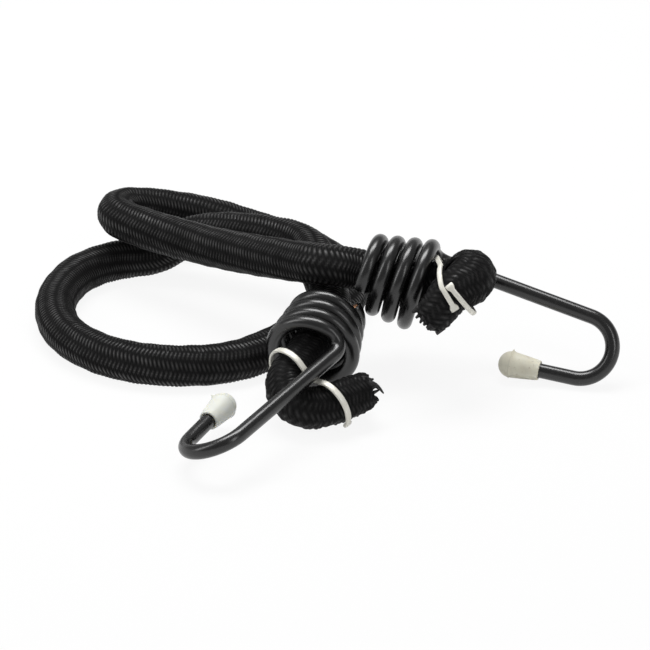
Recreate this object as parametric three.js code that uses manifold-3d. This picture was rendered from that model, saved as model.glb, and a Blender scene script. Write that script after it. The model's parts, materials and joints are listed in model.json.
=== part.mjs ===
// A coiled bungee cord: braided stretch cord with rubber strands inside, and a coated wire hook on each end.
// Millimetres, +Z up. The cord lies on z = 0 and the camera side of the object is -Y.
import * as THREE from "three";
import Module from "manifold-3d";

// Cord
const CORD_R = 6.0; // outside of the braided cover
const COVER_WALL = 1.8; // two braided layers
const CORE_R = CORD_R - COVER_WALL;
const STRANDS = 4; // rubber strands inside the cover
const STRAND_R = CORE_R / 3;
const STRAND_OFFSET = 0.524 * CORE_R; // strand centre from the cord's centre
const CORD_SIDES = 10;
const STRAND_SIDES = 6;
const TURN_PER_STEP = 0.3; // radians of bend per station
const STEP_LONGEST = 15;
const FLAT_CUT = 0.2 * CORD_R; // a tenth of the cord's diameter, cut flat where it lies on the table
const LIE = CORD_R - FLAT_CUT; // height of the cord's centre on the table
// Centre line from the rear cut end to the front cut end.
const ROUTE = [
  [28.9, -18.1, 23.4], [31.6, -18.2, 26.7], [34.8, -15.7, 30], [40.2, -10, 30.3],
  [40.3, -5, 29.5], [37.8, -2.2, 28.1], [33.9, -1.4, 26.1], [25.6, 0.2, 23.7],
  [9.2, 3.6, 28], [0, 4, 29.3], [-9.2, 11.3, 26.8], [-35.8, 34.2, 20.5],
  [-61.2, 55, 19], [-61.4, 62.4, 18.3], [-54.1, 67.8, 16.2], [-36.3, 71.9, 11.3],
  [-21.4, 72.4, 6.2], [-5.3, 62.9, LIE], [4.9, 47.8, LIE], [6, 28.9, LIE],
  [-2, 15.1, LIE], [-24.1, -7.5, LIE], [-42.7, -11.2, LIE], [-61.2, -5.7, LIE],
  [-74.6, 8.1, LIE], [-78.8, 26.9, LIE], [-73.4, 45.4, LIE], [-63.5, 54.2, LIE],
  [-50.6, 55.4, 6.9], [-39.7, 54.3, 13.3], [-22.3, 47.1, 17.8], [-6.1, 36.8, 18.9],
  [-0.9, 19.7, 18], [1.3, 0, 16.1], [-5.3, -20, 13.2], [-10.5, -30.5, 10.6],
  [-10, -35.3, 8.6], [-6.4, -38.3, 7], [-1.6, -38, 6.5], [11.8, -31.8, 8.4],
];

// Hook
const WIRE_R = 1.2; // bare steel wire
const COAT_BORE = WIRE_R + 0.4;
const COAT_R = COAT_BORE + 0.5; // outside of the vinyl coating
const COIL_CLEAR = 0.65; // between the cord and the coil's narrow end
const COIL_R_ENTRY = CORD_R + COAT_R + COIL_CLEAR; // mean radius where the cord comes in
const COIL_FLARE = 0.725; // each turn is this much wider than the one before it
const COIL_R_HOOK = COIL_R_ENTRY + 4 * COIL_FLARE; // mean radius at the hook's end
const COIL_PITCH = 4.87;
const SHANK_LENGTH = 48.7;
const BEND_R = 9.1;
const BEND_ANGLE = 171.8;
const TIP_LENGTH = 21.85; // from the bend to the end of the cap
const CORNER = 5.5; // length of wire in the corner between coil and shank
const WIRE_SIDES = 6;
const COAT_SIDES = 8;
// Both hooks are the same wire shape, each bent a little its own way. Angles are in degrees:
// the shank leans across the coil's axis and along its last turn; the bend's plane is from that turn's tangent.
const HOOKS = [
  { name: "rear", at: [28.15, 0.33, 24.23], heading: -10.25, dip: 10.72, roll: 18.83,
    turns: 3.46, across: 9.46, along: 1.21, plane: 50 },
  { name: "front", at: [-4.1, -20.4, 12.6], heading: -105.65, dip: 10.8, roll: 29.5,
    turns: 4, across: 15.29, along: 13.2, plane: 93 },
];

// Push-on cap on a hook's tip
const CAP_LENGTH = 12;
const CAP_BORE_R = COAT_R + 0.35;
const CAP_R_MOUTH = CAP_BORE_R + 0.35;
const CAP_R_BULGE = CAP_R_MOUTH + 1;
const CAP_BORE_DEPTH = 8;
const CAP_SHOULDER = 8.4; // where the rounded end starts
const CAP_SIDES = 14;

// Wire clip that holds each folded cord end
const CLIP_R = 0.65;
const CLIP_CLEAR = 0.95;
const CLIP_PINCH = 3.2; // dip of the clip between the two runs of cord
const CLIP_PART = -105; // degrees, where the loop leaves one run for the other
const CLIP_SIDES = 6;
const CLIP_T = 2.6; // cross bar on each end
const CLIP_T_THICK = 1.2;
const CLIP_T_LIFT = 0.6; // the bar stands off the cord

const { Manifold, Mesh } = await start();
async function start() {
  const wasm = await Module();
  wasm.setup();
  return wasm;
}
const V = (x, y, z) => new THREE.Vector3(x, y, z);
const rad = THREE.MathUtils.degToRad;
const material = (color, metalness, roughness) =>
  new THREE.MeshStandardMaterial({ color, metalness, roughness });
const BRAID = material(0x2b2b2d, 0, 0.8);
const RUBBER = material(0xc9b184, 0, 0.7);
const STEEL = material(0xb48058, 1, 0.35);
const VINYL = material(0x1f1f21, 0, 0.3);
const CAP = material(0xe9e6da, 0, 0.45);
const ZINC = material(0xd8d6cc, 0.8, 0.4);

// Frames along a line of points, each turned as little as possible from the one before it.
function stations(points) {
  const last = points.length - 1;
  const tangents = points.map((p, i) =>
    points[Math.min(i + 1, last)].clone().sub(points[Math.max(i - 1, 0)]).normalize());
  let n = V(0, 0, 1).addScaledVector(tangents[0], -tangents[0].z).normalize();
  if (n.length() < 0.5) n = V(1, 0, 0);
  return points.map((at, i) => {
    n = n.clone().addScaledVector(tangents[i], -n.dot(tangents[i])).normalize();
    return { at, n, b: tangents[i].clone().cross(n) };
  });
}

// One closed body along the stations: a solid rod, or a pipe when there is a bore.
function sweep(frames, radius, sides, bore = 0, offset = 0, offsetAngle = 0) {
  const ring = (f, r) => Array.from({ length: sides }, (_, k) => {
    const a = (2 * Math.PI * (k + 0.5)) / sides;
    return f.at.clone()
      .addScaledVector(f.n, offset * Math.cos(offsetAngle) + r * Math.cos(a))
      .addScaledVector(f.b, offset * Math.sin(offsetAngle) + r * Math.sin(a));
  });
  const points = frames.flatMap((f) => ring(f, radius));
  const faces = [];
  const count = frames.length;
  const wall = (start, turn) => {
    for (let i = 0; i + 1 < count; i++)
      for (let k = 0; k < sides; k++) {
        const a = start + i * sides + k, b = start + i * sides + ((k + 1) % sides);
        const quad = [a, b, b + sides, a, b + sides, a + sides];
        faces.push(...(turn ? quad.reverse() : quad));
      }
  };
  wall(0, false);
  const end = (count - 1) * sides;
  if (bore) {
    const inner = points.length;
    points.push(...frames.flatMap((f) => ring(f, bore)));
    wall(inner, true);
    for (let k = 0; k < sides; k++) {
      const m = (k + 1) % sides;
      faces.push(k, inner + k, inner + m, k, inner + m, m);
      const a = end + k, b = end + m;
      faces.push(a, b, inner + b, a, inner + b, inner + a);
    }
  } else
    for (let k = 1; k + 1 < sides; k++) faces.push(0, k + 1, k, end, end + k, end + k + 1);
  return geometry(points, faces);
}
function geometry(points, faces) {
  const g = new THREE.BufferGeometry();
  g.setAttribute("position", new THREE.Float32BufferAttribute(points.flatMap((p) => p.toArray()), 3));
  g.setIndex(faces);
  g.computeVertexNormals();
  return g;
}
function solid(g) {
  return new Manifold(new Mesh({
    numProp: 3,
    vertProperties: new Float32Array(g.getAttribute("position").array),
    triVerts: new Uint32Array(g.index.array),
  }));
}
function fromSolid(s) {
  const m = s.getMesh();
  const points = [];
  for (let i = 0; i < m.numVert; i++)
    points.push(V(...m.vertProperties.subarray(i * m.numProp, i * m.numProp + 3)));
  return geometry(points, [...m.triVerts]);
}
function part(group, name, g, look) {
  const mesh = new THREE.Mesh(g, look);
  mesh.name = name;
  group.add(mesh);
}

// Cord: stations are close together where it bends and wide apart where it runs straight.
const route = new THREE.CatmullRomCurve3(ROUTE.map((p) => V(...p)), false, "centripetal");
const FINE = 3000;
const fine = Array.from({ length: FINE + 1 }, (_, i) => route.getPoint(i / FINE));
function cordStations() {
  const picked = [fine[0]];
  let length = 0, turn = 0;
  for (let i = 1; i < FINE; i++) {
    const before = fine[i].clone().sub(fine[i - 1]), after = fine[i + 1].clone().sub(fine[i]);
    length += before.length();
    turn += before.angleTo(after);
    if (turn > TURN_PER_STEP || length > STEP_LONGEST) {
      picked.push(fine[i]);
      length = turn = 0;
    }
  }
  if (picked.at(-1).distanceTo(fine[FINE]) < 2) picked.pop();
  return stations([...picked, fine[FINE]]);
}
function leastGap(points, diameter) {
  const walk = [];
  let length = 0;
  points.forEach((p, i) => {
    if (i) length += p.distanceTo(points[i - 1]);
    if (i % 5 === 0) walk.push({ p, length });
  });
  let least = Infinity;
  walk.forEach((a, i) => walk.slice(i + 1).forEach((b) => {
    if (b.length - a.length > 2.2 * diameter) least = Math.min(least, a.p.distanceTo(b.p));
  }));
  return { gap: least - diameter, length };
}
const measured = leastGap(fine, 2 * CORD_R);

// Hook: the wire's centre line, with the coil's axis along X and its last turn ending at x = 0.
function hookLine(h) {
  const points = [];
  const coilAt = (left) => {
    const a = 2 * Math.PI * left;
    const r = COIL_R_HOOK - COIL_FLARE * left;
    return V(-COIL_PITCH * left, r * Math.cos(a), r * Math.sin(a));
  };
  const cornerStart = CORNER / (2 * Math.PI * COIL_R_HOOK);
  const steps = Math.round(14 * h.turns);
  for (let i = 0; i <= steps; i++) points.push(coilAt(h.turns + ((cornerStart - h.turns) * i) / steps));
  const corner = coilAt(0);
  const along = V(1, -Math.tan(rad(h.across)), Math.tan(rad(h.along))).normalize();
  const turnIn = new THREE.QuadraticBezierCurve3(
    points.at(-1), corner, corner.clone().addScaledVector(along, CORNER));
  for (const t of [0.2, 0.4, 0.6, 0.8, 1]) points.push(turnIn.getPoint(t));
  const bendStart = corner.clone().addScaledVector(along, SHANK_LENGTH);
  for (const t of [0.33, 0.66]) points.push(turnIn.getPoint(1).lerp(bendStart, t));
  const side = along.clone().cross(V(0, 0, 1)).normalize();
  const lift = side.clone().cross(along);
  const plane = rad(h.plane);
  const across = side.multiplyScalar(Math.sin(plane)).addScaledVector(lift, -Math.cos(plane));
  const bendSteps = 11;
  for (let i = 0; i <= bendSteps; i++) {
    const a = (rad(BEND_ANGLE) * i) / bendSteps;
    points.push(bendStart.clone().addScaledVector(along, BEND_R * Math.sin(a))
      .addScaledVector(across, BEND_R * (1 - Math.cos(a))));
  }
  const out = rad(BEND_ANGLE);
  const tip = along.clone().multiplyScalar(Math.cos(out)).addScaledVector(across, Math.sin(out));
  const bendEnd = points.at(-1);
  const wireEnd = bendEnd.clone().addScaledVector(tip, TIP_LENGTH - CAP_LENGTH + CAP_BORE_DEPTH - 0.4);
  points.push(wireEnd);
  return { points, tip, capEnd: bendEnd.clone().addScaledVector(tip, TIP_LENGTH) };
}

function capGeometry(line) {
  const profile = [];
  const flare = 6;
  profile.push(new THREE.Vector2(0, CAP_BORE_DEPTH), new THREE.Vector2(CAP_BORE_R, CAP_BORE_DEPTH));
  profile.push(new THREE.Vector2(CAP_BORE_R, 0), new THREE.Vector2(CAP_R_MOUTH, 0));
  for (let i = 1; i <= flare; i++) {
    const t = i / flare;
    const grow = t * t * (3 - 2 * t);
    profile.push(new THREE.Vector2(CAP_R_MOUTH + (CAP_R_BULGE - CAP_R_MOUTH) * grow, CAP_SHOULDER * t));
  }
  for (const a of [25, 50, 72])
    profile.push(new THREE.Vector2(CAP_R_BULGE * Math.cos(rad(a)), CAP_SHOULDER
      + (CAP_LENGTH - CAP_SHOULDER) * Math.sin(rad(a))));
  profile.push(new THREE.Vector2(0, CAP_LENGTH));
  const rings = profile.slice(1, -1);
  const points = [V(0, CAP_BORE_DEPTH, 0)];
  for (const q of rings)
    for (let k = 0; k < CAP_SIDES; k++) {
      const a = (2 * Math.PI * k) / CAP_SIDES;
      points.push(V(q.x * Math.cos(a), q.y, q.x * Math.sin(a)));
    }
  points.push(V(0, CAP_LENGTH, 0));
  const faces = [];
  const id = (ring, k) => 1 + ring * CAP_SIDES + (k % CAP_SIDES);
  for (let k = 0; k < CAP_SIDES; k++) {
    faces.push(0, id(0, k), id(0, k + 1));
    for (let i = 0; i + 1 < rings.length; i++)
      faces.push(id(i, k), id(i + 1, k), id(i + 1, k + 1), id(i, k), id(i + 1, k + 1), id(i, k + 1));
    faces.push(id(rings.length - 1, k), points.length - 1, id(rings.length - 1, k + 1));
  }
  const g = geometry(points, faces);
  const mouth = line.capEnd.clone().addScaledVector(line.tip, -CAP_LENGTH);
  g.applyQuaternion(new THREE.Quaternion().setFromUnitVectors(V(0, 1, 0), line.tip));
  g.translate(mouth.x, mouth.y, mouth.z);
  return g;
}

// Clip: an open loop round the two runs of a folded cord end, with a flattened bar on each end.
// Each arc is a run, -1 or 1, the angles it covers and how far along the cord it starts and ends;
// the loop dips between two arcs that part at the top.
function clipGeometry({ a, b, along, arcs, slack }) {
  const r = CORD_R + CLIP_CLEAR + CLIP_R;
  const reach = (run) => r + (run > 0 ? slack : 0); // looser round a run that crosses the clip at a slant
  const span = b.clone().sub(a);
  const x = span.clone().addScaledVector(along, -span.dot(along)).normalize();
  const y = along.clone().cross(x);
  if (y.dot(V(0, -0.3, -1)) < 0) y.negate();
  const half = span.dot(x) / 2;
  const middle = a.clone().add(b).multiplyScalar(0.5);
  const at = (u, v, w = 0) =>
    middle.clone().addScaledVector(x, u).addScaledVector(y, v).addScaledVector(along, w);
  const outline = [];
  arcs.forEach(([run, from, to, start = 0, end = 0], i) => {
    if (i && from === CLIP_PART) outline.push(at(0, CLIP_PINCH - r));
    const steps = Math.ceil(Math.abs(to - from) / 24);
    for (let k = 0; k <= steps; k++) {
      const t = rad(from + ((to - from) * k) / steps);
      const out = reach(run);
      outline.push(at(run * half + out * Math.cos(t), out * Math.sin(t), start + ((end - start) * k) / steps));
    }
  });
  const loop = solid(sweep(stations(outline), CLIP_R, CLIP_SIDES));
  const bar = (run, angle, shift = 0) => {
    const t = rad(angle), out = reach(run) + CLIP_T_LIFT;
    const end = at(run * half + out * Math.cos(t), out * Math.sin(t), shift);
    const m = new THREE.Matrix4().makeBasis(along, x, along.clone().cross(x)).setPosition(end);
    return Manifold.cube([CLIP_T, CLIP_T_THICK, CLIP_T_THICK], true).transform(m.elements);
  };
  const [first, last] = [arcs[0], arcs.at(-1)];
  return fromSolid(loop.add(bar(first[0], first[1], first[3])).add(bar(last[0], last[2], last[4])));
}

const bungee = new THREE.Group();
bungee.name = "bungee_cord";
const frames = cordStations();
const cover = solid(sweep(frames, CORD_R, CORD_SIDES, CORE_R));
part(bungee, "cord_cover", fromSolid(cover.trimByPlane([0, 0, 1], 0)), BRAID);
for (let i = 0; i < STRANDS; i++)
  part(bungee, `rubber_strand_${i + 1}`,
    sweep(frames, STRAND_R, STRAND_SIDES, 0, STRAND_OFFSET, (2 * Math.PI * (i + 0.5)) / STRANDS), RUBBER);

for (const h of HOOKS) {
  const line = hookLine(h);
  const wireFrames = stations(line.points);
  const hook = new THREE.Group();
  hook.position.set(...h.at);
  hook.rotation.set(rad(h.roll), rad(h.dip), rad(h.heading), "ZYX");
  part(hook, `${h.name}_hook_wire`, sweep(wireFrames, WIRE_R, WIRE_SIDES), STEEL);
  part(hook, `${h.name}_hook_coating`, sweep(wireFrames, COAT_R, COAT_SIDES, COAT_BORE), VINYL);
  part(hook, `${h.name}_tip_cap`, capGeometry(line), CAP);
  bungee.add(hook);
}
// Each clip stands square to the mean of the two runs it holds; the numbers count along the route points.
const onRoute = (i) => route.getPoint(i / (ROUTE.length - 1));
const heading = (i) => onRoute(i + 0.1).sub(onRoute(i - 0.1)).normalize();
function clipPlace(one, otherFrom, otherTo) {
  const a = onRoute(one);
  const middle = (otherFrom + otherTo) / 2;
  const along = heading(one).sub(heading(middle)).normalize();
  let best = middle, off = Infinity;
  for (let i = 0; i <= 60; i++) {
    const t = otherFrom + ((otherTo - otherFrom) * i) / 60;
    const d = Math.abs(onRoute(t).sub(a).dot(along));
    if (d < off) [best, off] = [t, d];
  }
  return { a, b: onRoute(best), along };
}
const clips = [
  { name: "rear_clip", ...clipPlace(5.9, 1, 2.4), slack: 0.6, arcs: [
    [1, -30, 90, -0.4, -1.8], [-1, 90, 270, -1.8, -1.8], [1, -90, -35, -1.6, 1.5], [1, -35, 20, 1.5, 2]] },
  { name: "front_clip", ...clipPlace(34.7, 38.1, 38.8), slack: 0, arcs: [[-1, 150, 285], [1, CLIP_PART, 12]] },
];
for (const c of clips) part(bungee, c.name, clipGeometry(c), ZINC);

// The origin is under the middle of the whole object.
const size = new THREE.Box3().setFromObject(bungee, true);
const middle = size.getCenter(V(0, 0, 0)).setZ(0);
for (const piece of bungee.children) piece.position.sub(middle);

console.log(`origin moved by ${middle.toArray().map((v) => v.toFixed(3)).join(", ")} mm`);
console.log(`cord length ${measured.length.toFixed(1)} mm, stations ${frames.length},`
  + ` least gap of the cord to itself ${measured.gap.toFixed(2)} mm`);
export default bungee;
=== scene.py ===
# %% [markdown]
# # A bungee cord lying in loose loops
#
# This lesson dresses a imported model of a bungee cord: a braided stretch cord whose two ends are folded
# back, clipped, and pulled into the wire coils of two hooks. The solids give every place and size, so
# this script rebuilds each piece in the same spot with a finer surface, gives it a finish, and adds the
# loose yarns of the cut ends. Lengths are written in millimetres and multiplied by MM, because a scene
# is measured in metres.

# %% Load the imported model
import json
import math

import bpy
import numpy as np
from mathutils import Euler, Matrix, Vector


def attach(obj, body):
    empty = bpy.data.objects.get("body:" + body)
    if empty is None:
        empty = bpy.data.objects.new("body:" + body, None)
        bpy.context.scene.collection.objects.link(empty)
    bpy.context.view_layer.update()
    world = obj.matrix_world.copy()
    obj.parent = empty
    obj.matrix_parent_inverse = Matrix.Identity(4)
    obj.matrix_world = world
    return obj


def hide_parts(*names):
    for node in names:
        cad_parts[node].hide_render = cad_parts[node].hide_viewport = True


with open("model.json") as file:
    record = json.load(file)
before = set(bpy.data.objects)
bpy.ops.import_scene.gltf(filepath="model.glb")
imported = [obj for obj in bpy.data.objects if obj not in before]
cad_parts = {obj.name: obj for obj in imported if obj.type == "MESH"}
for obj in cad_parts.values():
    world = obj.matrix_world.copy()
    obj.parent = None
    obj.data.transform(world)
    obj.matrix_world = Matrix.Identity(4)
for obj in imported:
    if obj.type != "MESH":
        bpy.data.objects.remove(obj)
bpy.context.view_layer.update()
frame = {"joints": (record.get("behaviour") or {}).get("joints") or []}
MM = 0.001
scene = bpy.context.scene
scene.view_settings.view_transform = "Standard"

# %% [markdown]
# ## Camera
#
# The camera could be placed by eye. Here its distance, height and lens were solved from the loops of
# the cord, so that a point of the model falls on the same spot of the picture. A long lens from one
# metre away keeps the near hook and the far loop almost the same size.

# %% Camera
SHIFT = np.array([-0.638, 4.601, 0.0])  # the model's origin is under its middle, the route's is not
AIM = (np.array([0.0, 0.0, 12.0]) - SHIFT) * MM  # a cord's thickness above the route's origin
CAMERA_FAR, CAMERA_UP = 1.0, math.radians(28)
LENS, SENSOR = 194.3, 36
camera = bpy.data.objects.new("camera", bpy.data.cameras.new("camera"))
scene.collection.objects.link(camera)
camera.data.lens, camera.data.sensor_width = LENS, SENSOR
back = Vector((0, -math.cos(CAMERA_UP), math.sin(CAMERA_UP)))
camera.location = Vector(AIM) + back * CAMERA_FAR
camera.rotation_euler = (-back).to_track_quat("-Z", "Y").to_euler()
scene.camera = camera
print("camera at", [round(x, 3) for x in camera.location])

# %% [markdown]
# ## The cord's line
#
# A cord is a fixed length of something flexible. Its line runs from the rear cut end, round the fold in
# the rear hook, through both loops on the table and to the front cut end. A curve object could draw it,
# but the braid needs an exact distance along the line, so the points go through a centripetal spline
# that is then cut into even steps.

# %% Route of the cord
CORD_R = 6.0
LIE = 4.8  # the cord's middle where it lies on the table, a little flattened
ROUTE = [
    (28.9, -18.1, 23.4), (31.6, -18.2, 26.7), (34.8, -15.7, 30), (40.2, -10, 30.3),
    (40.3, -5, 29.5), (37.8, -2.2, 28.1), (33.9, -1.4, 26.1), (25.6, 0.2, 23.7),
    (9.2, 3.6, 28), (0, 4, 29.3), (-9.2, 11.3, 26.8), (-35.8, 34.2, 20.5),
    (-61.2, 55, 19), (-61.4, 62.4, 18.3), (-54.1, 67.8, 16.2), (-36.3, 71.9, 11.3),
    (-21.4, 72.4, 6.2), (-5.3, 62.9, LIE), (4.9, 47.8, LIE), (6, 28.9, LIE),
    (-2, 15.1, LIE), (-24.1, -7.5, LIE), (-42.7, -11.2, LIE), (-61.2, -5.7, LIE),
    (-74.6, 8.1, LIE), (-78.8, 26.9, LIE), (-73.4, 45.4, LIE), (-63.5, 54.2, LIE),
    (-50.6, 55.4, 6.9), (-39.7, 54.3, 13.3), (-22.3, 47.1, 17.8), (-6.1, 36.8, 18.9),
    (-0.9, 19.7, 18), (1.3, 0, 16.1), (-5.3, -20, 13.2), (-10.5, -30.5, 10.6),
    (-10, -35.3, 8.6), (-6.4, -38.3, 7), (-1.6, -38, 6.5), (11.8, -31.8, 8.4),
]
ROUTE = np.array(ROUTE, float) - SHIFT
FINE_STEPS = 4000
ROWS = 2070  # rings of the cover, as many as keep it under 200,000 triangles


def on_route(place):
    """The point at a place counted in route points, on a centripetal spline through all of them."""
    ends = np.vstack([2 * ROUTE[0] - ROUTE[1], ROUTE, 2 * ROUTE[-1] - ROUTE[-2]])
    i = min(int(place), len(ROUTE) - 2)
    p0, p1, p2, p3 = ends[i:i + 4]
    d0, d1, d2 = (np.linalg.norm(b - a) ** 0.5 for a, b in ((p0, p1), (p1, p2), (p2, p3)))
    t1 = ((p1 - p0) / d0 - (p2 - p0) / (d0 + d1) + (p2 - p1) / d1) * d1
    t2 = ((p2 - p1) / d1 - (p3 - p1) / (d1 + d2) + (p3 - p2) / d2) * d1
    t = place - i
    square, cube = -3 * p1 + 3 * p2 - 2 * t1 - t2, 2 * p1 - 2 * p2 + t1 + t2
    return p1 + t1 * t + square * t**2 + cube * t**3


def evenly(points, count):
    """The same line with count points at even distances, and its length."""
    walked = np.concatenate([[0], np.cumsum(np.linalg.norm(np.diff(points, axis=0), axis=1))])
    at = np.linspace(0, walked[-1], count)
    return np.stack([np.interp(at, walked, points[:, k]) for k in range(3)], 1), walked[-1]


fine = np.array([on_route(t) for t in np.linspace(0, len(ROUTE) - 1, FINE_STEPS)])
line, CORD_LENGTH = evenly(fine, ROWS)
print(f"cord length {CORD_LENGTH:.1f} mm, one row every {CORD_LENGTH / (ROWS - 1):.2f} mm")

# %% [markdown]
# ## Skins
#
# Almost every piece here is something round that follows a line: cord, wire, coating, clip and yarn
# end. One helper carries a pair of side directions along a line without twisting them, and a second one
# joins rows of points into a mesh. Writing rings by hand gives control over each ring's shape, which a
# curve's bevel does not.

# %% Frames along a line
def unit(v):
    """A vector, or each row of an array, at length 1."""
    return v / np.linalg.norm(v, axis=-1, keepdims=True)


def round_angles(sides):
    return np.linspace(0, 2 * math.pi, sides, endpoint=False)


def frames_along(points):
    """The direction at each point and two square to it, turned as little as possible on the way."""
    tangent = unit(np.gradient(points, axis=0))
    side = np.array([0, 0, 1.0]) - tangent[0] * tangent[0][2]
    if np.linalg.norm(side) < 0.2:  # the line starts almost upright
        side = np.array([1.0, 0, 0])
    sides = np.zeros_like(points)
    for i, t in enumerate(tangent):
        side = unit(side - t * (side @ t))
        sides[i] = side
    return tangent, sides, np.cross(tangent, sides)


def rod_rings(points, radius, sides):
    """Rings of a round rod along a line. Its radius may change along it."""
    _, n, b = frames_along(points)
    radius = np.broadcast_to(radius, len(points))[:, None, None]
    angle = round_angles(sides)[:, None]
    return points[:, None] + radius * (n[:, None] * np.cos(angle) + b[:, None] * np.sin(angle))


print("frames ready")

# %% Skins and places
def skin(name, rings, corner_values=None, close=True):
    """A mesh object from rows of rings in millimetres, with a fan over each end where it is closed."""
    rows, around = rings.shape[:2]
    points = rings.reshape(-1, 3)
    i, k = np.meshgrid(np.arange(rows - 1), np.arange(around), indexing="ij")
    j = (k + 1) % around
    quads = np.stack([i * around + k, i * around + j, (i + 1) * around + j, (i + 1) * around + k], -1)
    faces = quads.reshape(-1, 4).tolist()
    if close:
        first, last, end = len(points), len(points) + 1, (rows - 1) * around
        points = np.vstack([points, rings[0].mean(0), rings[-1].mean(0)])
        for a in range(around):
            b = (a + 1) % around
            faces += [(first, b, a), (last, end + a, end + b)]
    mesh = bpy.data.meshes.new(name)
    mesh.from_pydata((points * MM).tolist(), [], faces)
    mesh.polygons.foreach_set("use_smooth", np.ones(len(faces), bool))
    if corner_values is not None:
        layer = mesh.attributes.new("braid", "FLOAT_VECTOR", "CORNER")
        values = np.zeros((len(mesh.loops), 3), np.float32)
        values[:quads.size] = corner_values(i.ravel(), k.ravel()).reshape(-1, 3)
        layer.data.foreach_set("vector", values.ravel())
    piece = bpy.data.objects.new(name, mesh)
    scene.collection.objects.link(piece)
    return piece


def place(piece, body, finish, *nodes, slot=None):
    """Gives a piece its finish, its body and the solids that it stands for; the slot is not used."""
    piece.data.materials.append(finish)
    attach(piece, body)
    if nodes:
        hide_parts(*nodes)
    return piece


print("skins ready")

# %% [markdown]
# ## Shader sums
#
# Node trees are hard to read as pictures, so the maths of a finish is written as Python. The class
# wraps one output socket. Adding, scaling or comparing it makes the Math node. Everything else comes
# from one method of the finish, which takes the kind of node, its settings, and what goes into its
# sockets.

# %% Sockets
class Socket:
    def __init__(self, out):
        self.out = out

    def math(self, operation, *others):
        node = self.out.id_data.nodes.new("ShaderNodeMath")
        node.operation = operation
        for slot, value in zip(node.inputs, (self, *others)):
            plug(slot, value)
        return Socket(node.outputs[0])

    def clamped(self):
        return self.math("MAXIMUM", 0).math("MINIMUM", 1)

    def sibling(self, name):
        """Another output of the same node."""
        return Socket(self.out.node.outputs[name])

    def __add__(self, other): return self.math("ADD", other)
    def __sub__(self, other): return self.math("SUBTRACT", other)
    def __mul__(self, other): return self.math("MULTIPLY", other)
    def __rsub__(self, other): return self * -1 + other
    __radd__, __rmul__ = __add__, __mul__


def plug(slot, value):
    """Links a socket to a node's input, or writes a plain value there."""
    if isinstance(value, Socket):
        slot.id_data.links.new(value.out, slot)
    else:
        slot.default_value = value


def grey(value):
    return (value, value, value, 1)


print("sockets ready")

# %% Finishes
class Finish:
    def __init__(self, name):
        self.material = bpy.data.materials.new(name)
        self.material.use_nodes = True
        self.tree = self.material.node_tree
        self.tree.nodes.clear()

    def node(self, kind, settings=None, sockets=None, out=0):
        node = self.tree.nodes.new("ShaderNode" + kind)
        for key, value in (settings or {}).items():
            if key == "stops":
                ramp = node.color_ramp
                while len(ramp.elements) < len(value):
                    ramp.elements.new(0.5)
                for stop, (at, colour) in zip(ramp.elements, value):
                    stop.position, stop.color = at, (*colour, 1)
            else:
                setattr(node, key, value)
        for key, value in (sockets or {}).items():
            plug(next(s for s in node.inputs if key in (s.identifier, s.name)), value)
        return Socket(node.outputs[out]) if node.outputs else None

    def mix(self, factor, one, two):
        """One colour turning into another. Its colour is the third of the node's outputs."""
        return self.node("Mix", {"data_type": "RGBA"},
                         {"Factor_Float": factor, "A_Color": one, "B_Color": two}, out=2)

    def noise(self, scale, detail):
        at = self.node("TexCoord", out="Object")
        return self.node("TexNoise", None, {"Vector": at, "Scale": scale, "Detail": detail})

    def bump(self, height, strength, distance):
        return self.node("Bump", None, {"Strength": strength, "Distance": distance, "Height": height})

    def surface(self, **sockets):
        """Ends the tree in one Principled shader; socket names are written with _ for a space."""
        named = {key.replace("_", " "): value for key, value in sockets.items()}
        shader = self.node("BsdfPrincipled", None, named)
        self.node("OutputMaterial", None, {"Surface": shader})
        return self.material


print("finishes ready")

# %% [markdown]
# ## Braid finish
#
# The cover is black yarn. Each yarn is a flat bundle of fine threads, so light breaks into thin streaks
# along it and its crown shines as if coated. One dark colour would look like rubber, so the colour also
# carries painted light: the crowns are lighter as a painted highlight, and the hollows between yarns are
# darker as painted shade. The two hands of yarn slant opposite ways, so the streaks have to turn with
# them: the cord's mesh stores where each corner lies in the braid, and the finish works out from that
# which hand is on top.

# %% Braid finish
YARNS = 12  # yarns of one hand round the cord
YARN_STEP = 4 * CORD_LENGTH / (ROWS - 1)  # millimetres along the cord from one yarn to the next
THREADS = 5  # streaks across one yarn
YARN_PAINTED_LIGHT_TONES = [  # hollow, flank and crown: painted shade in the hollow, a painted highlight on the crown
    (0.3, (0.0065, 0.0064, 0.0066)), (0.72, (0.016, 0.0157, 0.0158)), (1.0, (0.085, 0.0835, 0.083)),
]


def braid_finish():
    f = Finish("black braid")
    at = f.node("Attribute", {"attribute_name": "braid"}, out="Vector")
    along = f.node("SeparateXYZ", None, {"Vector": at})
    around, height = along.sibling("Y"), along.sibling("Z")
    right, left = along + around, along - around
    turn = (right.math("FLOOR") - left.math("FLOOR")).math("FLOORED_MODULO", 4)
    right_on_top = turn.math("LESS_THAN", 1.5)
    across = right * right_on_top + left * (1 - right_on_top)
    threads = (across * (2 * math.pi * THREADS)).math("SINE")
    fuzz, patches, spread = f.noise(2600, 4), f.noise(90, 2), f.noise(420, 2)
    # the relief's height and the threads paint shade into the hollows and between threads, and a
    # highlight onto the crowns
    tone = f.node("ValToRGB", {"stops": YARN_PAINTED_LIGHT_TONES},
                  {"Fac": height * 0.9 + threads * 0.07 + (patches - 0.5) * 0.45})
    shine = (height * 2.4 - 1.3 + (spread - 0.5) * 2).clamped()
    rough = 0.66 - height * 0.24 + (fuzz - 0.5) * 0.2
    relief = f.bump(threads * 0.35 + fuzz * 0.8 + height * 0.6, 0.8, 0.0002)
    return f.surface(Base_Color=tone, Roughness=rough, Normal=relief, Specular_IOR_Level=0.1,
                     Coat_Weight=shine * 0.6, Coat_Roughness=0.36, Coat_IOR=1.42)


black_braid = braid_finish()
print("finish", black_braid.name)

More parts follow.
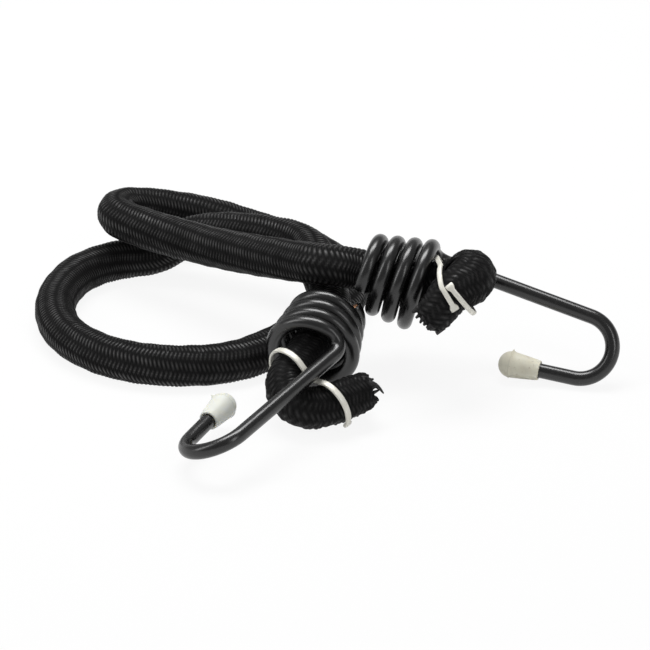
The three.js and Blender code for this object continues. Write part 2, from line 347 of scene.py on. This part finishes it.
# %% [markdown]
# ## Braided cover
#
# A picture of a braid would look flat at the cord's edge, where the real one is finely toothed. So the
# relief is in the mesh: two hands of yarn wind round the cord, each passes over two of the other hand
# and then under two, and every float is a long rounded hump. Four rings and four columns go to a yarn,
# so each hump gets the same few points. The braid turns slowly round the cord, its folded ends are
# matted and lumpy, and it swells where the rear end is folded. Each cut end is ragged, and the mesh
# turns in there, because the loose yarns close over the rubber.

# %% Braid relief
AROUND = 4 * YARNS
YARN_HEIGHT = 0.32
YARN_ROUND, FLOAT_LOW, FLOAT_ROUND = 2.2, 0.3, 0.7  # across a yarn, then along a float
REAR_LOOSE, FRONT_LOOSE = 44.0, 46.0  # lengths of the folded ends, where the braid is slack and matted
LOOSE_BLEND, MATTING = 3.0, 0.22  # how softly that starts, and the share of the relief, with its painted crown highlight, that is lost


def braid_height(along, around):
    """Height from 0 to 1 of a two-over-two braid at places counted in yarns."""
    right, left = along + around, along - around
    i, j = np.floor(right), np.floor(left)
    right_on_top = np.mod(i - j, 4) < 1.5
    run = np.where(right_on_top, np.mod(left - i + 1, 4), np.mod(right - j - 2, 4)) / 2
    across = 2 * np.where(right_on_top, right - i, left - j) - 1
    crown = np.sin(math.pi * np.clip(run, 0, 1)) ** FLOAT_ROUND
    return (1 - np.abs(across) ** YARN_ROUND) * (FLOAT_LOW + (1 - FLOAT_LOW) * crown)


def matted(walked):
    """1 on the two folded ends and 0 on the long run between them, at distances along the cord."""
    rear, front = REAR_LOOSE - walked, walked - CORD_LENGTH + FRONT_LOOSE
    return 1 / (1 + np.exp(-np.maximum(rear, front) / LOOSE_BLEND))


print("a yarn every", round(YARN_STEP, 2), "mm, with", AROUND, "columns round the cord")

# %% Rings of the cover
TWIST = 0.016  # radians a millimetre, because a cord that is laid in loops twists a little
UNEVEN, LUMPS = 0.1, 0.22  # waves of the whole cover, and lumps of its matted ends
FOLD_AT, FOLD_LENGTH, FOLD_SWELL = 20.0, 6.0, 0.26  # the tight rear fold bunches up into a ball
FOLD_RISE = 1.7 * np.array([0, -0.2, 1])  # the ball stands up, and a little to the front
SLACK_AT, SLACK_LENGTH, SLACK_SWELL = 35.8, 4.0, 0.23  # the cover is slack in the mouth of the rear coil
REAR_PINCH, FRONT_PINCH, PINCH_LENGTH = 0.2, 0.1, 4.0  # the cut ends are drawn in
TEETH, TEETH_SEED = (-1.2, 0.9), 3  # how far the ragged edges stand in and out
WALL_STEPS = (0.12, 0.3, 0.55, 0.85)  # shares of the way from each edge to the cord's middle
WALL_OUT, WALL_SINK = 0.2, 1.6  # the wall starts past the edge and sinks in


def hump(walked, at, length):
    return np.exp(-(((walked - at) / length) ** 2))


def cut_end(rings, way, row, teeth):
    """The rings that close one end, from its ragged edge to near the cord's middle."""
    edge = rings[row] + teeth[:, None] * way
    inward = line[row] - rings[row]
    wall = [edge + inward * deep + (WALL_OUT - WALL_SINK * deep) * way for deep in WALL_STEPS]
    return [edge, *wall]


def cord_rings():
    tangent, n, b = frames_along(line)
    walked = np.linspace(0, CORD_LENGTH, ROWS)[:, None]
    along = walked / YARN_STEP
    turn = np.linspace(0, 1, AROUND, endpoint=False)[None]
    angle = 2 * math.pi * turn + TWIST * walked
    loose = matted(walked)
    height = braid_height(along, turn * YARNS) * (1 - MATTING * loose)
    wave = np.sin(along * 0.9 + angle) * np.sin(along * 0.23 + 2 * angle)
    lumps = np.sin(along * 2.3 + 3 * angle) * np.sin(along * 1.1 - 5 * angle)
    radius = CORD_R - YARN_HEIGHT * (1 - height) + UNEVEN * wave + LUMPS * loose * lumps
    fold, slack = hump(walked, FOLD_AT, FOLD_LENGTH), hump(walked, SLACK_AT, SLACK_LENGTH)
    pinch = REAR_PINCH * np.exp(-walked / PINCH_LENGTH)
    pinch = pinch + FRONT_PINCH * np.exp((walked - CORD_LENGTH) / PINCH_LENGTH)
    radius = radius * (1 + FOLD_SWELL * fold + SLACK_SWELL * slack - pinch)
    out = n[:, None] * np.cos(angle)[..., None] + b[:, None] * np.sin(angle)[..., None]
    rings = line[:, None] + FOLD_RISE * fold[..., None] + radius[..., None] * out
    teeth = np.random.default_rng(TEETH_SEED).uniform(*TEETH, (2, AROUND))
    teeth = (teeth + np.roll(teeth, 1, 1) + np.roll(teeth, -1, 1)) / 2
    rear, front = cut_end(rings, -tangent[0], 0, teeth[0]), cut_end(rings, tangent[-1], -1, teeth[1])
    rings = np.vstack([np.array(rear[::-1]), rings[1:-1], np.array(front)])
    rings[..., 2] = np.maximum(rings[..., 2], 0)  # flat where it lies on the table
    return rings


cover_rings = cord_rings()
print("rings", len(cover_rings))

# %% Braided cover
END_SHADE_HEIGHT = 0.2  # in the braid's own measure: the walls of the cut ends get the painted shade of a hollow


def braid_corners(row, column):
    """Where each corner lies in the braid, in yarns along and round the cord, and how high it stands."""
    rows = np.stack([row, row, row + 1, row + 1], 1) - len(WALL_STEPS)
    columns = np.stack([column, column + 1, column + 1, column], 1)
    along = np.clip(rows, 0, ROWS - 1) * CORD_LENGTH / (ROWS - 1) / YARN_STEP
    around = columns * YARNS / AROUND
    height = braid_height(along, around) * (1 - MATTING * matted(along * YARN_STEP))
    on_wall = (rows < 0) | (rows > ROWS - 1)
    return np.stack([along, around, np.where(on_wall, END_SHADE_HEIGHT, height)], -1)


cord = place(skin("braided_cover", cover_rings, braid_corners), "cord", black_braid,
             "cord_cover", slot="braided_cover")
print("braided cover", len(cord.data.polygons), "faces")

# %% [markdown]
# ## Rubber core
#
# Inside the cover runs a bundle of rubber strands that does the stretching. The loose yarns hide it at
# the cut ends. The strands could be twisted round each other, but nobody sees them, so each is a plain
# round rod that follows the cord's line a little to one side of it.

# %% Rubber core
def rubber_finish():
    f = Finish("natural rubber")
    streaks = f.noise(700, 4)
    tone = f.mix(streaks, (0.30, 0.20, 0.10, 1), (0.52, 0.40, 0.24, 1))
    return f.surface(Base_Color=tone, Roughness=0.5 + streaks * 0.3, Normal=f.bump(streaks, 0.3, 0.0001))


STRANDS, STRAND_R, STRAND_OUT = 4, 1.4, 2.2
STRAND_ROWS, STRAND_SIDES = 420, 14
natural_rubber = rubber_finish()
core_line = evenly(fine, STRAND_ROWS)[0][2:-2]  # it stops short of the cut ends
_, core_n, core_b = frames_along(core_line)
for k in range(STRANDS):
    turn = 2 * math.pi * (k + 0.5) / STRANDS
    beside = core_line + STRAND_OUT * (math.cos(turn) * core_n + math.sin(turn) * core_b)
    piece = skin(f"rubber_core_{k + 1}", rod_rings(beside, STRAND_R, STRAND_SIDES))
    place(piece, "cord", natural_rubber, f"rubber_strand_{k + 1}", slot="rubber_core")

# %% [markdown]
# ## Hooks
#
# Both hooks are the same part: steel wire dipped in black vinyl and wound into a cone of about four
# turns, which grips the cord. The wire then turns a sharp corner out of the last turn, runs out as a
# shank and bends round into an open hook. A screw modifier could wind the coil, but not lead it into
# the shank, so the whole line is written once, along X. Each hook is bent a little its own way, and its
# joint gives its place.

# %% Line of the hook wire
WIRE_R, COAT_BORE, COAT_R = 1.2, 1.25, 2.1
COIL_R_HOOK, COIL_FLARE, COIL_PITCH, COIL_STEPS = 11.65, 0.725, 4.87, 50  # the last three for each turn
SHANK_LENGTH, CORNER = 48.7, 5.5
BEND_R, BEND_ANGLE = 9.1, math.radians(171.8)
TIP_LENGTH, CAP_LENGTH, CAP_DEPTH = 21.85, 12.0, 8.0
WIRE_SHORT = 0.4  # the wire ends this far before the bottom of the cap's bore
CORNER_STEPS, SHANK_STEPS, BEND_STEPS, TIP_STEPS = 14, 16, 40, 10
HOOKS = {  # turns of the coil, then angles in degrees
    "rear": dict(turns=3.46, across=9.46, along=1.21, plane=50, roll=18.83, dip=10.72, heading=-10.25),
    "front": dict(turns=4, across=15.29, along=13.2, plane=93, roll=29.5, dip=10.8, heading=-105.65),
}


def coil_at(left):
    """A point of the coil with this many turns left before its wide end."""
    a, r = 2 * math.pi * left, COIL_R_HOOK - COIL_FLARE * left
    return np.stack([-COIL_PITCH * left, r * np.cos(a), r * np.sin(a)], -1)


def hook_line(hook):
    """The wire's middle line from its cut end to the tip, then the cap's end and the tip's direction."""
    turns, corner_turn = hook["turns"], CORNER / (2 * math.pi * COIL_R_HOOK)
    coil = coil_at(np.linspace(turns, corner_turn, int(COIL_STEPS * turns)))
    corner = coil_at(np.array(0.0))
    lean_across, lean_along, plane = (math.radians(hook[key]) for key in ("across", "along", "plane"))
    along = unit(np.array([1, -math.tan(lean_across), math.tan(lean_along)]))
    t = np.linspace(0, 1, CORNER_STEPS)[1:, None]
    leave = corner + along * CORNER
    turn = (1 - t) ** 2 * coil[-1] + 2 * t * (1 - t) * corner + t**2 * leave
    bend_from = corner + along * SHANK_LENGTH
    shank = leave + np.linspace(0, 1, SHANK_STEPS)[1:-1, None] * (bend_from - leave)
    side = unit(np.cross(along, [0, 0, 1]))
    across = side * math.sin(plane) - np.cross(side, along) * math.cos(plane)
    a = np.linspace(0, BEND_ANGLE, BEND_STEPS)[:, None]
    bend = bend_from + BEND_R * (along * np.sin(a) + across * (1 - np.cos(a)))
    tip = along * math.cos(BEND_ANGLE) + across * math.sin(BEND_ANGLE)
    wire_end = TIP_LENGTH - CAP_LENGTH + CAP_DEPTH - WIRE_SHORT
    straight = bend[-1] + np.linspace(0, wire_end, TIP_STEPS)[1:, None] * tip
    return np.vstack([coil, turn, shank, bend, straight]), bend[-1] + TIP_LENGTH * tip, tip


for end, hook in HOOKS.items():
    wire = np.linalg.norm(np.diff(hook_line(hook)[0], axis=0), axis=1).sum()
    print(end, "hook wire", round(float(wire), 1), "mm long")

# %% Places of the hooks
joint_of = {j["child"]: j for j in frame["joints"]}


def hook_place(end):
    """The turn and the place that carry points of this hook's own line into the model."""
    angles = [math.radians(HOOKS[end][key]) for key in ("roll", "dip", "heading")]
    return np.array(Euler(angles, "XYZ").to_matrix()), np.array(joint_of[f"{end}_hook"]["pos_m"]) / MM


for end in HOOKS:
    print(end, "coil ends at", hook_place(end)[1].round(1), "mm")

# %% [markdown]
# ## Vinyl and steel finishes
#
# The vinyl is glossy but not a mirror: it sags a little where it dried, and it is scuffed. One even
# gloss would look like glass, so both are noise in the roughness and a faint bump. The steel only shows
# on the cut end, where it has a copper wash and the saw's scratches.

# %% Vinyl and steel
def vinyl_finish():
    f = Finish("black vinyl")
    sag, scuff = f.noise(60, 2), f.noise(900, 5)
    worn = ((scuff - 0.56) * 6).clamped()
    tone = f.mix(worn * 0.5, (0.004, 0.004, 0.0042, 1), (0.012, 0.0118, 0.0115, 1))
    return f.surface(Base_Color=tone, Roughness=0.22 + sag * 0.1 + worn * 0.05,
                     Normal=f.bump(sag + scuff * 0.004, 0.25, 0.0006), Specular_IOR_Level=0.65)


def steel_finish():
    f = Finish("copper washed steel")
    saw = f.noise(3000, 3)
    tone = f.mix(saw, (0.22, 0.095, 0.045, 1), (0.55, 0.30, 0.17, 1))
    return f.surface(Base_Color=tone, Metallic=0.85, Roughness=0.35 + saw * 0.25,
                     Normal=f.bump(saw, 0.4, 0.00008))


black_vinyl, washed_steel = vinyl_finish(), steel_finish()
print("finishes", black_vinyl.name, "and", washed_steel.name)

# %% [markdown]
# ## Coating and wire
#
# The vinyl covers the wire like a sleeve, and the steel shows only where both were cut. A curve with a
# round bevel could draw the outside, but not the sleeve's end. So its rings run along the outside, and
# at each end they turn in over an edge that is a little rounded, because vinyl is soft, and go into the
# bore. The wire is a plain rod inside.

# %% Coating and wire
COAT_SIDES, WIRE_SIDES = 24, 16
EDGE_IN, EDGE_OUT, BORE_OUT = 0.22, 0.18, 0.05  # the rounded edge: in from the outside, and past the cut


def hook_pieces(end):
    turned, at = hook_place(end)
    points = hook_line(HOOKS[end])[0] @ turned.T + at
    radii = (COAT_R, COAT_R - EDGE_IN, COAT_BORE)
    outside, rim, inside = (rod_rings(points, r, COAT_SIDES) for r in radii)
    first, last = unit(points[0] - points[1]), unit(points[-1] - points[-2])
    lip = [inside[3], inside[0] + BORE_OUT * first, rim[0] + EDGE_OUT * first]
    lip_far = [rim[-1] + EDGE_OUT * last, inside[-1] + BORE_OUT * last, inside[-2]]
    coat = skin(f"{end}_coating", np.vstack([np.array(lip), outside, np.array(lip_far)]), close=False)
    place(coat, f"{end}_hook", black_vinyl, f"{end}_hook_coating", slot="hook_coating")
    wire = skin(f"{end}_wire", rod_rings(points, WIRE_R, WIRE_SIDES))
    place(wire, f"{end}_hook", washed_steel, f"{end}_hook_wire", slot="hook_wire")
    return coat


for end in HOOKS:
    print(end, "coating", len(hook_pieces(end).data.polygons), "faces")

# %% [markdown]
# ## Tip caps
#
# Each tip has a soft vinyl cap, pushed on so that the wire's end is not sharp. It widens from its thin
# mouth to a shoulder, where the two halves of the mould met and left a fine ridge and a nub, and ends
# in a dome. A turned profile gives all of that but the nub, so the profile's rings are written out and
# pushed up at that one spot. The rear cap is ivory and dirty; the front one is whiter and lets some
# light through.

# %% Cap finishes
def cap_finish(name, clean, dirty, dirt, glow):
    f = Finish(name)
    cloud, speck = f.noise(260, 3), f.noise(1500, 4)
    spots = ((speck - 0.6) * 7).clamped()
    tone = f.mix((cloud - 0.35).math("MAXIMUM", 0) * dirt + spots * dirt * 0.6, clean, dirty)
    return f.surface(Base_Color=tone, Roughness=0.42 + cloud * 0.2, Specular_IOR_Level=0.4,
                     Normal=f.bump(cloud + speck * 0.3, 0.25, 0.0002),
                     Subsurface_Weight=glow, Subsurface_Radius=(0.004, 0.0037, 0.003))


CAP_LOOK = {
    "rear": cap_finish("ivory cap", (0.74, 0.72, 0.6, 1), (0.4, 0.34, 0.25, 1), 0.8, 0.3),
    "front": cap_finish("milky cap", (0.68, 0.69, 0.64, 1), (0.57, 0.57, 0.49, 1), 0.5, 1.0),
}
print("cap finishes", [m.name for m in CAP_LOOK.values()])

# %% Profile of a cap
CAP_BORE_R, CAP_R_MOUTH, CAP_R_BULGE, CAP_SHOULDER = 2.45, 2.8, 3.8, 8.4
CAP_LIP_R = COAT_R + 0.03  # the soft mouth closes on the wire
RIDGE = 0.16  # the mould's ridge on the shoulder


def cap_profile():
    """Radius and distance from the mouth, from inside the bore, round the mouth and over the dome."""
    bore = [(CAP_BORE_R, CAP_DEPTH), (CAP_BORE_R, 2), (CAP_LIP_R, 0.5)]
    mouth = [(CAP_LIP_R + 0.06, 0.05), (CAP_R_MOUTH - 0.12, 0), (CAP_R_MOUTH, 0.14)]
    side = [(CAP_R_MOUTH + (CAP_R_BULGE - CAP_R_MOUTH) * t**0.85, CAP_SHOULDER * t)
            for t in np.linspace(0.06, 0.97, 14)]
    ridge = [(CAP_R_BULGE + 0.02, CAP_SHOULDER - 0.14), (CAP_R_BULGE + RIDGE, CAP_SHOULDER),
             (CAP_R_BULGE - 0.02, CAP_SHOULDER + 0.16)]
    rise = CAP_LENGTH - CAP_SHOULDER
    dome = [(CAP_R_BULGE * 0.985 * math.cos(a), CAP_SHOULDER + rise * math.sin(a))
            for a in np.radians(np.linspace(7, 88, 12))]
    return np.array(bore + mouth + side + ridge + dome), len(bore + mouth)


print("cap profile of", len(cap_profile()[0]), "rings")

# %% Caps
CAP_SIDES = 64
NUB = {"rear": 318, "front": 244}  # degrees round the cap
NUB_HEIGHT, NUB_R = 0.75, 0.3


def cap(end):
    turned, at = hook_place(end)
    _, cap_end, tip = hook_line(HOOKS[end])
    profile, unseen = cap_profile()
    angle = round_angles(CAP_SIDES)
    u = unit(np.cross(tip, [0, 0, 1]))
    v = np.cross(tip, u)
    out = np.cos(angle)[:, None] * u + np.sin(angle)[:, None] * v
    away = np.angle(np.exp(1j * (angle - math.radians(NUB[end])))) * CAP_R_BULGE
    nub = NUB_HEIGHT * np.exp(-(away[None]**2 + (profile[:, 1:] - CAP_SHOULDER) ** 2) / NUB_R**2)
    nub[:unseen] = 0  # not inside the bore, which is almost as deep
    mouth = cap_end - CAP_LENGTH * tip
    rows = mouth + profile[:, None, 1:] * tip + (profile[:, :1] + nub)[..., None] * out
    piece = skin(f"{end}_cap", rows @ turned.T + at)
    return place(piece, f"{end}_hook", CAP_LOOK[end], f"{end}_tip_cap", slot=f"{end}_cap")


for end in HOOKS:
    print(end, "cap", len(cap(end).data.polygons), "faces")

# %% [markdown]
# ## Clips
#
# A zinc-plated wire clip holds each folded end together. It is a flat open loop round the two runs of
# cord, and each of its ends is stamped into a little crossbar. On the rear fold both ends show: one leg
# comes down and the other comes up beside it, so the loop also steps sideways by the width of a leg. A
# curve with a round bevel would look like new wire. The real one is pressed flat, so its rings are
# rounded rectangles that face the cord.

# %% Clip finish
def zinc_finish():
    f = Finish("dull zinc")
    cloud, speck = f.noise(400, 3), f.noise(2200, 4)
    tone = f.mix(cloud, (0.62, 0.6, 0.52, 1), (0.86, 0.85, 0.79, 1))
    return f.surface(Base_Color=tone, Metallic=0.2, Roughness=0.34 + speck * 0.22,
                     Normal=f.bump(speck, 0.3, 0.0001))


dull_zinc = zinc_finish()
print("finish", dull_zinc.name)

# %% Lines of the clips
CLIP_OUT = 1.6  # middle of the wire outside the cord
CLIP_PINCH = 3.2  # how far the front clip is squeezed in between the two runs
CLIP_ROWS, CLIP_TRIES, ARC_STEP = 90, 61, 6  # the last in degrees
CLIP_FACES = np.array([0, -0.3, -1])  # a clip's angles count from its run towards this side


def heading(place):
    return unit(on_route(place + 0.1) - on_route(place - 0.1))


def clip_place(one, other_from, other_to):
    """The two runs' middles and the direction along them, square to which the clip stands."""
    a = on_route(one)
    along = unit(heading(one) - heading((other_from + other_to) / 2))
    tries = [on_route(t) for t in np.linspace(other_from, other_to, CLIP_TRIES)]
    b = min(tries, key=lambda p: abs((p - a) @ along))
    return a, b, along


def clip_line(where, arcs, slack, tuck):
    """A loop through arcs: a run (-1 or 1), its two angles, and its place along the cord at each end."""
    a, b, along = clip_place(*where)
    x = unit((b - a) - along * ((b - a) @ along))
    y = np.cross(along, x)
    y = -y if y @ CLIP_FACES < 0 else y
    half, middle = (b - a) @ x / 2, (a + b) / 2
    path = []
    for k, (run, start, stop, near, far) in enumerate(arcs):
        r = CORD_R + CLIP_OUT + (slack if run > 0 else 0)
        if k and tuck:
            path.append((0, tuck - r, near))
        for t in np.linspace(0, 1, 2 + int(abs(stop - start) / ARC_STEP)):
            turn = math.radians(start + (stop - start) * t)
            path.append((run * half + r * math.cos(turn), r * math.sin(turn), near + (far - near) * t))
    path = np.array(path)
    return evenly(middle + path[:, :1] * x + path[:, 1:2] * y + path[:, 2:] * along, CLIP_ROWS)[0], along


CLIPS = {
    "rear": clip_line((5.9, 1, 2.4), [(1, -30, 90, -0.4, -1.8), (-1, 90, 270, -1.8, -1.8),
                                      (1, -90, -35, -1.6, 1.5), (1, -35, 20, 1.5, 2)], 0.6, 0),
    "front": clip_line((34.7, 38.1, 38.8), [(-1, 150, 285, 0, 0), (1, -105, 12, 0, 0)], 0, CLIP_PINCH),
}
print("clip lines", list(CLIPS))

# %% Clips
CLIP_THICK, CLIP_WIDE = 0.45, {"rear": 0.72, "front": 0.92}  # half sizes of the flattened wire
BAR_THICKER, BAR_WIDER, BAR_ROWS = 0.15, 0.5, 2  # each end is stamped into a crossbar
CLIP_SIDES, SQUARENESS = 14, 0.6


def clip(end, points, along):
    tangent = unit(np.gradient(points, axis=0))
    wide = unit(along - tangent * (tangent @ along)[:, None])
    out = np.cross(tangent, wide)
    angle = round_angles(CLIP_SIDES)
    across, up = (np.sign(v) * np.abs(v) ** SQUARENESS for v in (np.cos(angle), np.sin(angle)))
    bar = np.zeros(CLIP_ROWS)
    bar[:BAR_ROWS], bar[-BAR_ROWS:] = 1, 1
    width, thickness = CLIP_WIDE[end] + BAR_WIDER * bar, CLIP_THICK + BAR_THICKER * bar
    rows = (points[:, None] + width[:, None, None] * across[:, None] * wide[:, None]
            + thickness[:, None, None] * up[:, None] * out[:, None])
    return place(skin(f"{end}_wire_clip", rows), "cord", dull_zinc, f"{end}_clip", slot="clip_wire")


clips = [clip(end, *way) for end, way in CLIPS.items()]
print("clips", [len(c.data.polygons) for c in clips])

# %% [markdown]
# ## Frayed ends
#
# Where the cord was cut, its yarns come apart. Hair could draw that, but these are thick yarn ends that
# stand out as dark teeth, so each is a small tapering rod that starts on the cut edge, follows the cord
# and bends away. On the front end two bundles stick out further as spikes.

# %% Yarn ends
YARN_R = (0.8, 1.1)
YARN_ROOT, SPIKE_ROOT = (3.8, 4.8), 4.4  # from the cord's middle
YARN_BACK, SPIKE_BACK = 1.5, 1.0  # from the cut, back along the cord
YARN_POINT, SPIKE_POINT = 0.3, 0.12  # thickness of the tip, as a share of the root
SPACING, LEAN, STRAY = (-0.4, 0.4), (-0.5, 0.3), 0.12  # round the cord, in or out, and any way
YARN_STEPS, YARN_SIDES = 7, 7


def yarn_end(root, way, bend, length, radius, point):
    t = np.linspace(0, 1, YARN_STEPS)[:, None]
    points = root + length * (way * t + bend * t**2)
    return rod_rings(points, radius * np.linspace(1, point, YARN_STEPS) ** 0.8, YARN_SIDES)


def fray(end, row, count, seed, lengths, spikes=()):
    """One mesh of yarn ends round a cut edge; spikes are (turn, length, radius, bend along Z)."""
    rng = np.random.default_rng(seed)
    tangent, n, b = frames_along(line)
    way = tangent[row] * (-1 if row == 0 else 1)
    bundle = []
    for k in range(count):
        turn = 2 * math.pi * (k + rng.uniform(*SPACING)) / count
        out = math.cos(turn) * n[row] + math.sin(turn) * b[row]
        root = line[row] + out * rng.uniform(*YARN_ROOT) - way * YARN_BACK
        bend = out * rng.uniform(*LEAN) + rng.normal(0, STRAY, 3)
        bundle.append(yarn_end(root, way, bend, rng.uniform(*lengths), rng.uniform(*YARN_R), YARN_POINT))
    for turn, length, radius, drop in spikes:
        out = math.cos(turn) * n[row] + math.sin(turn) * b[row]
        root, bend = line[row] + out * SPIKE_ROOT - way * SPIKE_BACK, np.array([0, 0, drop])
        bundle.append(yarn_end(root, way, bend, length, radius, SPIKE_POINT))
    pieces = [skin(f"{end}_yarn_{k}", rows) for k, rows in enumerate(bundle)]
    with bpy.context.temp_override(active_object=pieces[0], selected_editable_objects=pieces):
        bpy.ops.object.join()
    pieces[0].name = pieces[0].data.name = f"{end}_fray"
    return pieces[0]


print("yarn ends ready")

# %% Frayed ends
def fray_finish():
    f = Finish("loose yarn")
    fuzz = f.noise(2400, 4)
    tone = f.mix(fuzz, (0.006, 0.006, 0.0065, 1), (0.03, 0.029, 0.029, 1))
    return f.surface(Base_Color=tone, Roughness=0.6 + fuzz * 0.2, Normal=f.bump(fuzz, 0.6, 0.0001),
                     Specular_IOR_Level=0.35)


FRAYS = {
    "rear": dict(row=0, count=20, seed=5, lengths=(1.7, 2.5)),
    "front": dict(row=ROWS - 1, count=22, seed=8, lengths=(2.0, 3.2),
                  spikes=[(0.4, 5.2, 1.2, -0.9), (3.6, 3.5, 1.1, -0.4)]),
}
loose_yarn = fray_finish()
frays = [place(fray(end, **how), "cord", loose_yarn, slot="braided_cover") for end, how in FRAYS.items()]
print("frayed ends", [len(f.data.polygons) for f in frays])

# %% [markdown]
# ## The cord as a cord
#
# The cord starts at its cut end in the rear hook and goes back into the front hook. Its length and
# thickness could be measured on the mesh, but the line that the mesh follows gives them exactly.

print("cord from the rear hook to the front hook")

# %% [markdown]
# ## Floor and light
#
# The object stands on white with a faint shadow. A brighter lamp could wash the floor out, but it would
# wash the object out as well. So the pale floor, with a low wall round it, also glows a little for the
# camera and in reflections, and reaches white by itself. A broad lamp above and a tall one on each side
# draw the long highlights on the wire. The room above them is dim, so the black wire keeps dark stripes
# beside its highlights.

# %% Floor
FLOOR_HALF, WALL_HEIGHT = 6.0, 1.5  # metres
FLOOR_DROP = 0.0002  # just under the cord's flat underside
FLOOR_GREY, FLOOR_GLOW = 0.75, 0.9


def floor_finish():
    f = Finish("pale floor")
    lit = f.node("BsdfDiffuse", None, {"Color": grey(FLOOR_GREY)})
    glow = f.node("Emission", None, {"Color": grey(1.0), "Strength": 1.0})
    seen = camera_ray = f.node("LightPath", out="Is Camera Ray")
    for kind in ("Is Glossy Ray", "Is Transmission Ray"):
        seen = seen.math("MAXIMUM", camera_ray.sibling(kind))
    both = f.node("MixShader", None, {"Fac": seen * FLOOR_GLOW, "Shader": lit, "Shader_001": glow})
    f.node("OutputMaterial", None, {"Surface": both})
    return f.material


corners = [(x * FLOOR_HALF, y * FLOOR_HALF) for x, y in ((-1, -1), (1, -1), (1, 1), (-1, 1))]
mesh = bpy.data.meshes.new("floor")
mesh.from_pydata([(*xy, z) for z in (0, WALL_HEIGHT) for xy in corners], [],
                 [(0, 1, 2, 3), *((k, k + 4, (k + 1) % 4 + 4, (k + 1) % 4) for k in range(4))])
floor = bpy.data.objects.new("floor", mesh)
scene.collection.objects.link(floor)
floor.location.z = -FLOOR_DROP
mesh.materials.append(floor_finish())
print("floor", FLOOR_HALF * 2, "m wide")

# %% World and lamps
ROOM_STRENGTH = 0.3
LAMPS = {  # place, size and power
    "top_softbox": ((-0.05, 0.25, 0.75), (0.6, 0.32), 6.2),
    "left_softbox": ((-0.55, -0.1, 0.45), (0.15, 0.5), 1.3),
    "right_softbox": ((0.45, -0.5, 0.5), (0.15, 0.5), 1.0),
}
LAMP_AIM = Vector((0, 0, 0.01))
world = bpy.data.worlds.new("studio")
scene.world = world
world.use_nodes = True
room = world.node_tree.nodes["Background"]
room.inputs["Color"].default_value, room.inputs["Strength"].default_value = grey(1.0), ROOM_STRENGTH


def softbox(name, at, size, power):
    lamp = bpy.data.lights.new(name, "AREA")
    lamp.shape, lamp.size, lamp.size_y, lamp.energy = "RECTANGLE", *size, power
    holder = bpy.data.objects.new(name, lamp)
    scene.collection.objects.link(holder)
    holder.location = at
    holder.rotation_euler = (LAMP_AIM - Vector(at)).to_track_quat("-Z", "Y").to_euler()


for name, lamp in LAMPS.items():
    softbox(name, *lamp)
print(len(LAMPS), "softboxes in a dim room")
